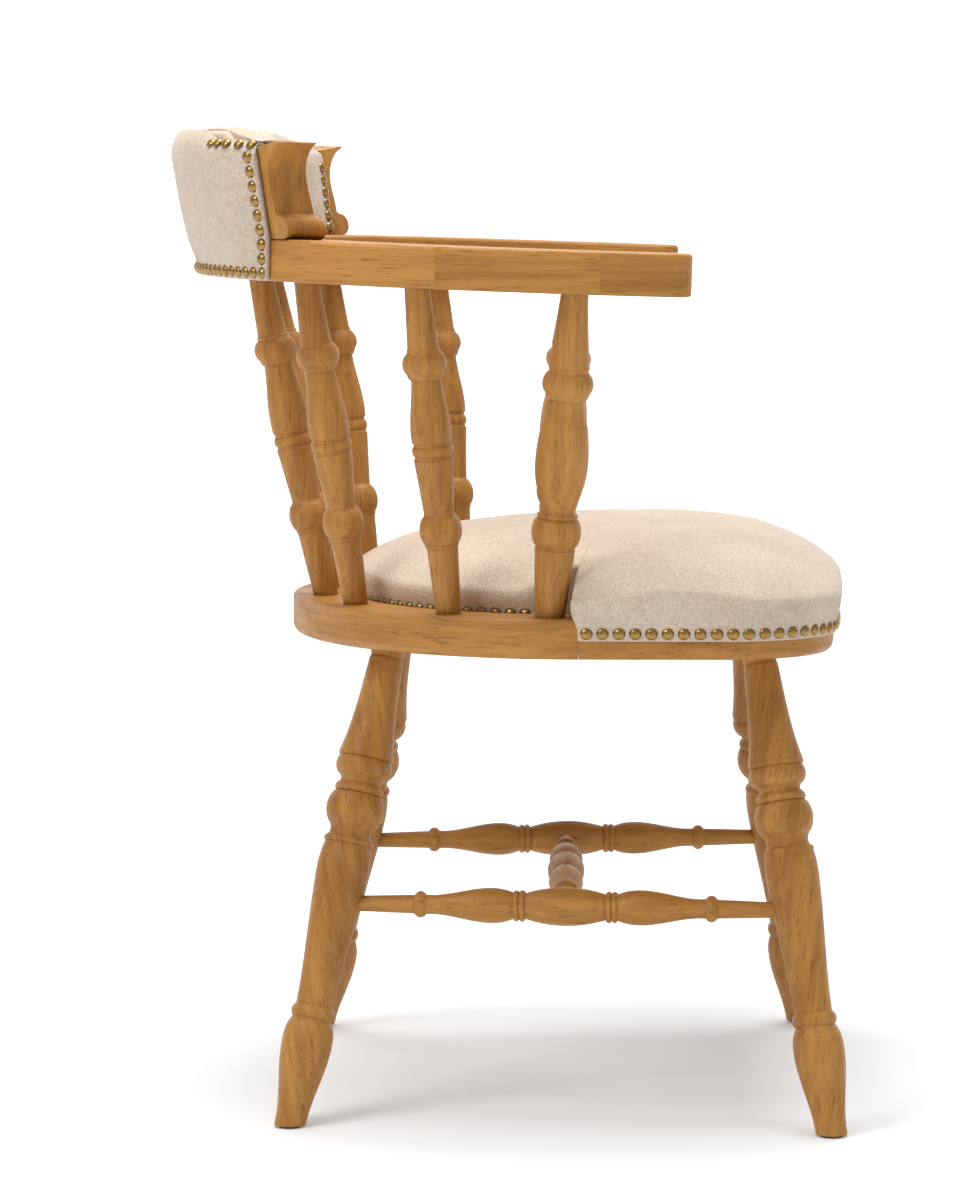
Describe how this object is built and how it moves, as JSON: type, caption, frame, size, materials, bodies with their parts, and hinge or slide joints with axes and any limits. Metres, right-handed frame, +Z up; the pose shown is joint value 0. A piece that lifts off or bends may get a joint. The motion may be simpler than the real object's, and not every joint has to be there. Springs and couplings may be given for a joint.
{
  "type": "captain's armchair",
  "caption": "Round-seated wooden armchair with turned splayed legs and spindles, a horseshoe arm bow, a padded crest and a nailed fabric seat.",
  "frame": {"origin": "on the floor, at the middle of the chair's bounding box", "axes": "+Z up, the chair faces -Y, +X is the sitter's left"},
  "size_m": [0.6, 0.5756, 0.8298],
  "materials": {
    "golden_wood": "satin oiled, short fine grain with darker turned grooves",
    "oatmeal_fabric": "pebbly chenille weave, matt",
    "foam": "open cell foam, matt",
    "nail_brass": "antique brass domes with darkened rims",
    "screw_steel": "plated",
    "glide_nylon": "moulded nylon",
    "seat_plywood": "unfinished board"
  },
  "bodies": {
    "root": {"arm_front_left": "golden_wood", "arm_front_right": "golden_wood", "arm_middle_left": "golden_wood", "arm_middle_right": "golden_wood", "arm_post_left": "golden_wood", "arm_post_right": "golden_wood", "bow_back": "golden_wood", "bow_dowels": "golden_wood", "crest_back_cover": "oatmeal_fabric", "crest_back_foam": "foam", "crest_back_nails": "nail_brass", "crest_core": "golden_wood", "crest_end_left": "golden_wood", "crest_end_right": "golden_wood", "crest_inner_cover": "oatmeal_fabric", "crest_inner_foam": "foam", "crest_inner_nails": "nail_brass", "crest_screws": "screw_steel", "crest_top_nails": "nail_brass", "cross_stretcher": "golden_wood", "foot_glides": "glide_nylon", "leg_front_left": "golden_wood", "leg_front_right": "golden_wood", "leg_rear_left": "golden_wood", "leg_rear_right": "golden_wood", "seat_board": "seat_plywood", "seat_board_screws": "screw_steel", "seat_cover": "oatmeal_fabric", "seat_foam": "foam", "seat_front_nails": "nail_brass", "seat_front_rail": "golden_wood", "seat_rear_nails": "nail_brass", "seat_rear_rim": "golden_wood", "side_stretcher_left": "golden_wood", "side_stretcher_right": "golden_wood", "spindle_left_1": "golden_wood", "spindle_left_2": "golden_wood", "spindle_left_3": "golden_wood", "spindle_right_1": "golden_wood", "spindle_right_2": "golden_wood", "spindle_right_3": "golden_wood"}
  },
  "joints": []
}
